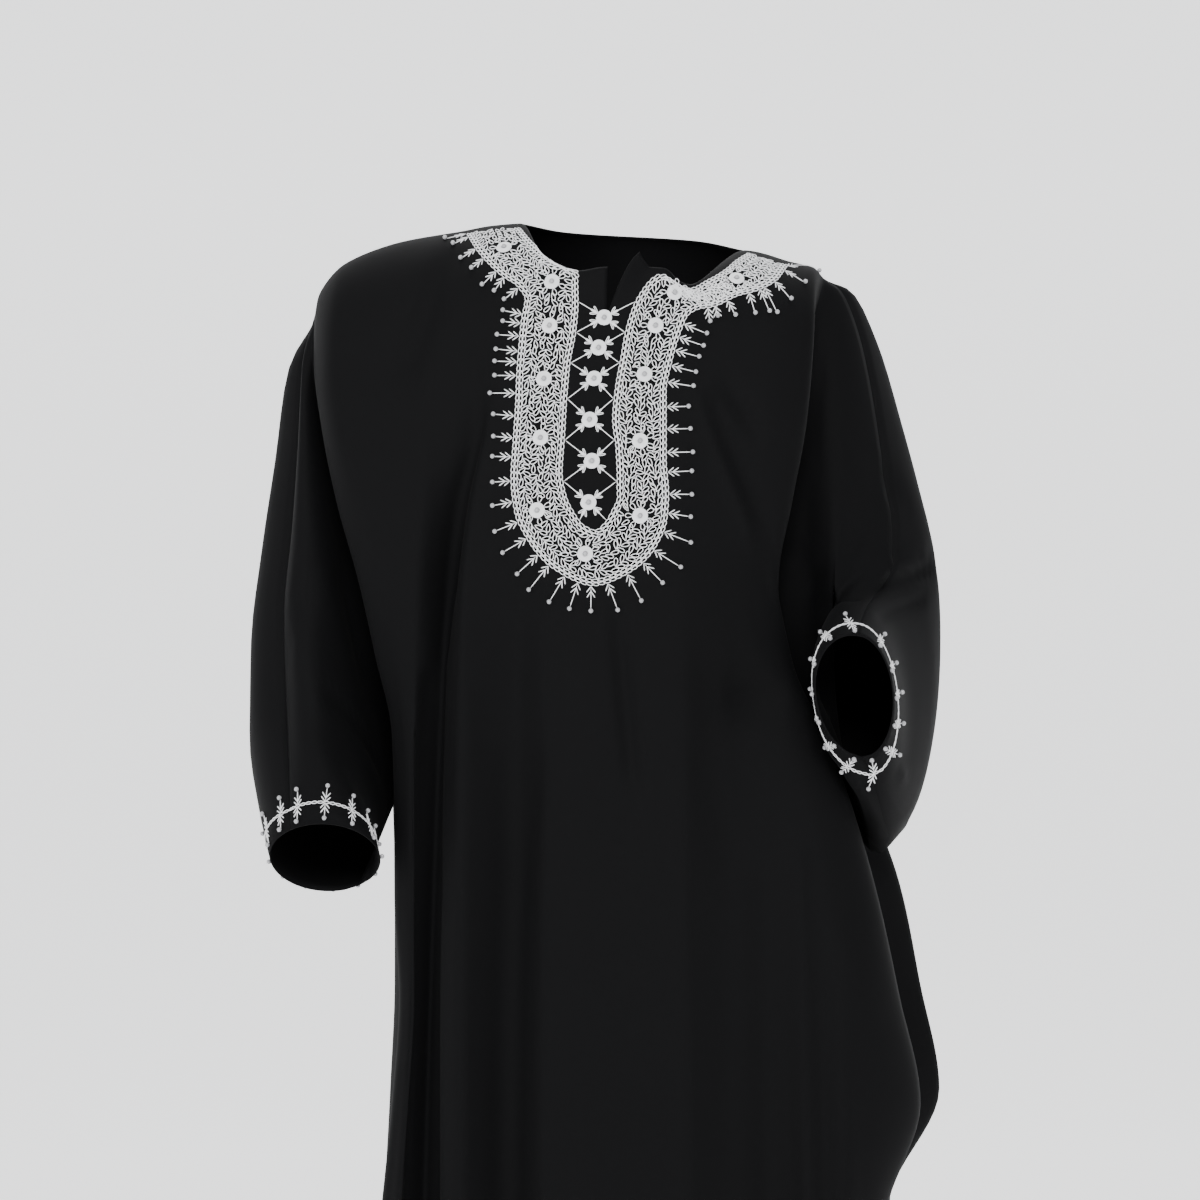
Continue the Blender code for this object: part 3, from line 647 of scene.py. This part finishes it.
class Stitches:
    """Thread of one piece: points and four-sided faces."""

    def __init__(self, ground):
        self.ground, self.places, self.faces, self.count = ground, [], [], 0

    def add(self, places, faces):
        self.places.append(places.reshape(-1, 3))
        self.faces.append(np.asarray(faces).reshape(-1, 4) + self.count)
        self.count += places.size // 3

    def tubes(self, paths, ups, half, closed, sides=4):
        """A tube along each path; ups point away from the cloth."""
        if closed:
            run = np.roll(paths, -1, axis=1) - np.roll(paths, 1, axis=1)
        else:
            run = np.gradient(paths, axis=1)
        run /= np.maximum(np.linalg.norm(run, axis=-1, keepdims=True), 1e-9)
        beside = np.cross(run, ups)
        beside /= np.maximum(np.linalg.norm(beside, axis=-1, keepdims=True), 1e-9)
        above = np.cross(beside, run)
        turn = 2 * np.pi * (np.arange(sides) + 0.5) / sides
        ring = np.cos(turn)[:, None] * beside[:, :, None] + np.sin(turn)[:, None] * above[:, :, None]
        places = paths[:, :, None] + ring * np.reshape(half, (1, -1, 1, 1))
        count, length = paths.shape[:2]
        i = np.arange(length if closed else length - 1)[:, None]
        j = np.arange(sides)[None, :]
        after, next_side = (i + 1) % length, (j + 1) % sides
        one = np.stack([i * sides + j, after * sides + j, after * sides + next_side,
                        i * sides + next_side], axis=-1).reshape(-1, 4)
        faces = one[None] + (np.arange(count) * length * sides)[:, None, None]
        self.add(places, faces)

    def loops(self, starts, ways, long, wide):
        """Pointed loops of thread that start at the given places and run the given ways."""
        starts, outward = self.ground.nearest(starts)
        ways = ways - outward * (ways * outward).sum(axis=-1, keepdims=True)
        ways /= np.maximum(np.linalg.norm(ways, axis=-1, keepdims=True), 1e-9)
        beside = np.cross(outward, ways)
        turn = 2 * np.pi * np.arange(LOOP_POINTS) / LOOP_POINTS
        along = (1 - np.cos(turn)) / 2 * (long - 2 * THREAD) * MM
        off = 0.62 * np.sin(turn) * np.sin(turn / 2) ** 0.8 * (wide - 2 * THREAD) * MM * 1.15
        long_part = ways[:, None] * along[None, :, None]
        paths = starts[:, None] + long_part + beside[:, None] * off[None, :, None]
        paths, ups = self.ground.nearest(paths)
        self.tubes(paths + ups * THREAD * MM * 0.7, ups, THREAD * MM, closed=True)

    def runs(self, starts, ends, steps=8):
        """Straight stitches from place to place."""
        share = np.linspace(0, 1, steps)[None, :, None]
        paths, ups = self.ground.nearest(starts[:, None] * (1 - share) + ends[:, None] * share)
        taper = np.full(steps, STEM)
        taper[[0, -1]] = 0.15 * STEM
        self.tubes(paths + ups * STEM * MM * 0.7, ups, taper * MM, closed=False)

    def rosettes(self, centres, ways):
        """Flat spirals of thread round a small dimple."""
        count = ROSETTE_TURNS * 20
        turn = np.linspace(0, 2 * np.pi * ROSETTE_TURNS, count)
        far = np.linspace(DIMPLE + 0.4, ROSETTE, count)
        centres, outward = self.ground.nearest(centres)
        beside = np.cross(outward, ways)
        beside /= np.linalg.norm(beside, axis=-1, keepdims=True)
        along = np.cross(beside, outward)
        flat = (beside[:, None] * (far * np.cos(turn))[None, :, None]
                + along[:, None] * (far * np.sin(turn))[None, :, None]) * MM
        paths, ups = self.ground.nearest(centres[:, None] + flat)
        height = (0.5 + 1.0 * np.sin(0.85 * np.pi * far / ROSETTE)) * MM
        self.tubes(paths + ups * height[None, :, None], ups, np.full(count, SPIRAL * MM),
                   closed=False, sides=5)
        ring = 24
        turn = 2 * np.pi * np.arange(ring) / ring
        for centre, up, side, way in zip(centres, outward, beside, along):
            disc = []
            for part in (0.02, 0.5, 1.0):
                spread = (side * np.cos(turn)[:, None] + way * np.sin(turn)[:, None]) * part
                spots, away = self.ground.nearest(centre + spread * ROSETTE * MM)
                disc.append(spots + away * (0.1 + 0.9 * np.sin(0.85 * np.pi * part)) * MM)
            i, j = np.arange(2)[:, None], np.arange(ring)[None, :]
            after = (j + 1) % ring
            faces = np.stack([i * ring + j, i * ring + after, (i + 1) * ring + after,
                              (i + 1) * ring + j], axis=-1)
            self.add(np.array(disc), faces)

    def beads(self, places, half):
        """Round beads that sink a tenth of their half width into the cloth."""
        spots, ups = self.ground.nearest(places)
        round_, down = 10, 7
        a = 2 * np.pi * np.arange(round_)[None, :] / round_
        b = np.pi * (np.arange(down)[:, None] + 0.02) / (down - 0.96)
        ball = np.stack([np.sin(b) * np.cos(a), np.sin(b) * np.sin(a), np.cos(b) + 0 * a], axis=-1)
        i, j = np.arange(down - 1)[:, None], np.arange(round_)[None, :]
        after = (j + 1) % round_
        faces = np.stack([i * round_ + j, (i + 1) * round_ + j, (i + 1) * round_ + after,
                          i * round_ + after], axis=-1)
        for spot, up in zip(spots, ups):
            self.add(spot + up * half * MM * 0.9 + ball * half * MM, faces)

    def sprigs(self, starts, ends):
        """Two pairs of leaves on a stem from the start to the end; the bead at the end is made by
        the callers as a piece of its own.
        """
        starts, outward = self.ground.nearest(starts)
        ways = ends - starts
        ways = ways / np.linalg.norm(ways, axis=-1, keepdims=True)
        beside = np.cross(outward, ways)
        for along, spread, long in SPRIG_PAIRS:
            for turn in (-spread, spread):
                self.loops(starts + ways * along * MM, ways * np.cos(turn) + beside * np.sin(turn),
                           long, SPRIG_LEAF_WIDE)
        self.runs(starts + ways * MM, ends, steps=6)

    def piece(self, name, thread):
        obj = cloth_object(name, np.concatenate(self.places), np.concatenate(self.faces))
        obj.data.materials.append(thread)
        return obj


def lengths(line):
    """How far along the line each of its points is."""
    gaps = np.linalg.norm(np.diff(line, axis=0), axis=1)
    return np.concatenate([[0], np.cumsum(gaps)])


def places_at(line, wanted):
    """The places at the wanted lengths along the line."""
    length = lengths(line)
    return np.stack([np.interp(wanted, length, line[:, k]) for k in range(line.shape[1])], axis=-1)


def along_line(line, step, start=0):
    """Places at even steps along a line of points, and the way it runs there."""
    wanted = np.arange(start, lengths(line)[-1] - 0.3 * step, step)
    ahead = places_at(line, wanted + 0.5 * step) - places_at(line, wanted - 0.5 * step)
    return places_at(line, wanted), ahead / np.linalg.norm(ahead, axis=1)[:, None]


def band_lines():
    """The outer and the inner edge of the band, as flat (x, z) in millimetres."""
    numbers = np.arange(len(BAND))
    wanted = np.linspace(0, len(BAND) - 1, BAND_POINTS)
    edge = [smooth_through(numbers, [b[k] for b in BAND], wanted) for k in range(4)]
    return np.stack(edge[:2], axis=1), np.stack(edge[2:], axis=1)


def flat_loops(stitches, spots, ways, size):
    """Loops on the front; spots and ways are flat (x, z) in millimetres."""
    starts = stitches.ground.seen(spots)
    ends = stitches.ground.seen(spots + 2 * ways)
    gone = np.linalg.norm(ends - starts, axis=1) < 1e-5
    ends[gone] = starts[gone] + np.array((0, 0, -0.002))
    stitches.loops(starts, ends - starts, *size)


def band_edges(ground, outer, inner, inward, thread):
    edges = Stitches(ground)
    for line, way in ((outer, inward), (inner, -inward)):
        for row in EDGE_ROWS:
            edges.loops(*along_line(ground.seen(line + way * row), CHAIN_STEP * MM), *EDGE_LOOP)
    edges.piece("band_edges", thread)


def band_field(ground, outer, wide, inward, thread):
    """The leaf stitches between the edges, and the petals round the rosettes."""
    field = Stitches(ground)
    centres = np.array(ROSETTES_ROUND, float)
    hearts = ground.seen(centres)
    chance = np.random.default_rng(7)
    for row in range(FIELD_ROWS):
        share = (row + 0.5) / FIELD_ROWS
        laid = ground.seen(outer + inward * (FIELD_EDGE + (wide - 2 * FIELD_EDGE) * share))
        middle, ways = along_line(laid, FIELD_STEP * MM, 0.5 * FIELD_STEP * MM * (row % 2))
        turn = FIELD_TURN * (1 if row % 2 else -1) + chance.normal(0, FIELD_SPREAD, len(middle))
        _, outward = ground.nearest(middle)
        turned = ways * np.cos(turn)[:, None] + np.cross(outward, ways) * np.sin(turn)[:, None]
        middle = middle + chance.normal(0, FIELD_DRIFT, middle.shape)
        near = np.linalg.norm(middle[:, None] - hearts[None], axis=-1).min(axis=1)
        keep = near > (ROSETTE + ROSETTE_CLEAR) * MM
        starts = middle - turned * FIELD_LOOP[0] / 2 * MM
        field.loops(starts[keep], turned[keep], *FIELD_LOOP)
    turn = 2 * np.pi * (np.arange(PETALS) + 0.5) / PETALS
    ways = np.stack([np.cos(turn), np.sin(turn)], axis=1)
    for centre in centres:
        flat_loops(field, centre + ways * (ROSETTE - 0.4), ways, PETAL_LOOP)
    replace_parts(field.piece("band_field", thread), "neck_band")


def chest_lattice(ground, inner, thread):
    """Stems from each rosette beside the slit to the band, with leaves at the rosette."""
    lattice = Stitches(ground)
    down = np.array(ROSETTES_DOWN, float)
    between = (down[:-1, 1] + down[1:, 1]) / 2
    heights = np.concatenate([[LATTICE_TOP], between, [LATTICE_FOOT]])
    half = len(inner) // 2
    left = np.stack([np.interp(-heights, -inner[:half, 1], inner[:half, 0]), heights], axis=1)
    right = np.stack([np.interp(heights, inner[half:, 1], inner[half:, 0]), heights], axis=1)
    for number, centre in enumerate(down):
        for points in (left, right):
            for corner in points[[number, number + 1]]:
                way = (corner - centre) / np.linalg.norm(corner - centre)
                across = np.array((-way[1], way[0]))
                spot = (centre + way * (ROSETTE - 0.2))[None]
                for side in LATTICE_TURNS:
                    leaf = way * np.cos(side) + across * np.sin(side)
                    flat_loops(lattice, spot, leaf[None], LATTICE_LOOP)
                lattice.runs(ground.seen([centre + way * ROSETTE]), ground.seen([corner]))
    lattice.piece("chest_lattice", thread)


def bead_piece(ground, name, places, half, pearl):
    beads = Stitches(ground)
    beads.beads(places, half)
    beads.piece(name, pearl)


def band_pieces(ground, thread, pearl):
    outer, inner = band_lines()
    wide = np.linalg.norm(inner - outer, axis=1)[:, None]
    inward = (inner - outer) / wide
    band_edges(ground, outer, inner, inward, thread)
    band_field(ground, outer, wide, inward, thread)

    spirals = Stitches(ground)
    spots = ground.seen(np.array(ROSETTES_ROUND + ROSETTES_DOWN, float))
    spirals.rosettes(spots, np.tile((0.0, 0.0, 1.0), (len(spots), 1)))
    spirals.piece("rosettes", thread)
    bead_piece(ground, "rosette_studs", spots, DIMPLE, pearl)
    chest_lattice(ground, inner, thread)

    ends = np.array(BEADS, float)
    starts = outer[np.linalg.norm(ends[:, None] - outer[None], axis=-1).argmin(axis=1)]
    sprigs = Stitches(ground)
    sprigs.sprigs(ground.seen(starts), ground.seen(ends))
    sprigs.piece("band_sprigs", thread)
    bead_piece(ground, "band_beads", ground.seen(ends), BEAD, pearl)


def cuff_pieces(ground, cuffs, thread, pearl):
    """Round each cuff, a line of chain stitch with a sprig to either side at each step."""
    for side in ("left", "right"):
        front, back = cuffs[side, "front"], cuffs[side, "back"]
        tube = np.concatenate([front, back[:, -2:0:-1]], axis=1)[::-1]

        def ring(height):
            out = [places_at(tube[:, column], height) for column in range(tube.shape[1])]
            return np.array(out + out[:1])

        chain = Stitches(ground)
        spots, ways = along_line(ring(CUFF_LINE), CHAIN_STEP, 0.5)
        chain.loops(spots * MM, ways, *CUFF_LOOP)
        base, _ = along_line(ring(CUFF_LINE), CUFF_STEP, 9)
        for name, height in (("upper", CUFF_LINE + CUFF_SPRIG), ("lower", CUFF_LINE - CUFF_SPRIG)):
            fine, _ = along_line(ring(height), 0.5, 0.5)
            ends = fine[np.linalg.norm(base[:, None] - fine[None], axis=-1).argmin(axis=1)]
            chain.sprigs(base * MM, ends * MM)
            bead_piece(ground, f"{side}_cuff_beads_{name}", ends * MM, BEAD, pearl)
        chain.piece(f"{side}_cuff_stitches", thread)


def camera_and_light():
    camera = bpy.data.objects.new("camera", bpy.data.cameras.new("camera"))
    bpy.context.scene.collection.objects.link(camera)
    camera.data.sensor_width = 36
    camera.data.lens = CAMERA_LENS
    camera.location = CAMERA_PLACE
    camera.rotation_euler = (np.pi / 2, 0, 0)
    bpy.context.scene.camera = camera
    for name, where, size, power in LAMPS:
        lamp = bpy.data.lights.new(name, "AREA")
        lamp.size, lamp.energy = size, power
        obj = bpy.data.objects.new(name, lamp)
        obj.location = where
        aim = Vector(LAMP_AIM) - Vector(where)
        obj.rotation_euler = aim.to_track_quat("-Z", "Y").to_euler()
        bpy.context.scene.collection.objects.link(obj)
    world = bpy.data.worlds.new("studio")
    world.use_nodes = True
    sky = world.node_tree.nodes["Background"]
    sky.inputs["Color"].default_value = SKY_COLOR
    sky.inputs["Strength"].default_value = SKY_STRENGTH
    bpy.context.scene.world = world


def backdrop():
    """A pale floor that curves up into a wall."""
    turn, floor_z, wall_y, half_width, wall_top = 2.5, -1.6, 7.0, 11.0, 9.0
    profile = [(-half_width, floor_z), (wall_y - turn, floor_z)]
    for k in range(1, 13):
        angle = np.pi / 2 * k / 12
        profile.append((wall_y - turn + turn * np.sin(angle),
                        floor_z + turn - turn * np.cos(angle)))
    profile.append((wall_y, wall_top))
    places = [(x, y, z) for x in (-half_width, half_width) for y, z in profile]
    count = len(profile)
    faces = [(i, i + 1, i + 1 + count, i + count) for i in range(count - 1)]
    obj = smooth_object("backdrop", places, faces)
    paper = shader("pale_paper", (0.9, 0.9, 0.9), 0.9, Emission_Strength=PAPER_GLOW,
                   Emission_Color=(1, 1, 1, 1))[0]
    obj.data.materials.append(paper)


def main():
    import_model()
    places, panels, cuffs = garment()
    normals = point_normals(places, np.concatenate(list(panels.values())))
    places = folded(places, normals)
    black = crepe()
    made = {}
    for panel, faces in panels.items():
        used, small = np.unique(faces, return_inverse=True)
        obj = cloth_object(f"{panel}_cloth", places[used], small.reshape(faces.shape))
        obj.data.materials.append(black)
        wall = obj.modifiers.new("cloth_thickness", "SOLIDIFY")
        wall.thickness, wall.offset = CLOTH, -1
        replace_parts(obj, f"{panel}_panel")
        made[panel] = obj
    thread = shader("white_thread", (0.86, 0.86, 0.87), 0.42, Sheen_Weight=0.25,
                    Sheen_Roughness=0.4)[0]
    pearl = shader("pearl_beads", (0.36, 0.36, 0.37), 0.2, Coat_Weight=0.5, Coat_Roughness=0.1)[0]
    ground = Ground(*made.values())
    band_pieces(ground, thread, pearl)
    cuff_pieces(ground, cuffs, thread, pearl)
    backdrop()
    camera_and_light()


main()
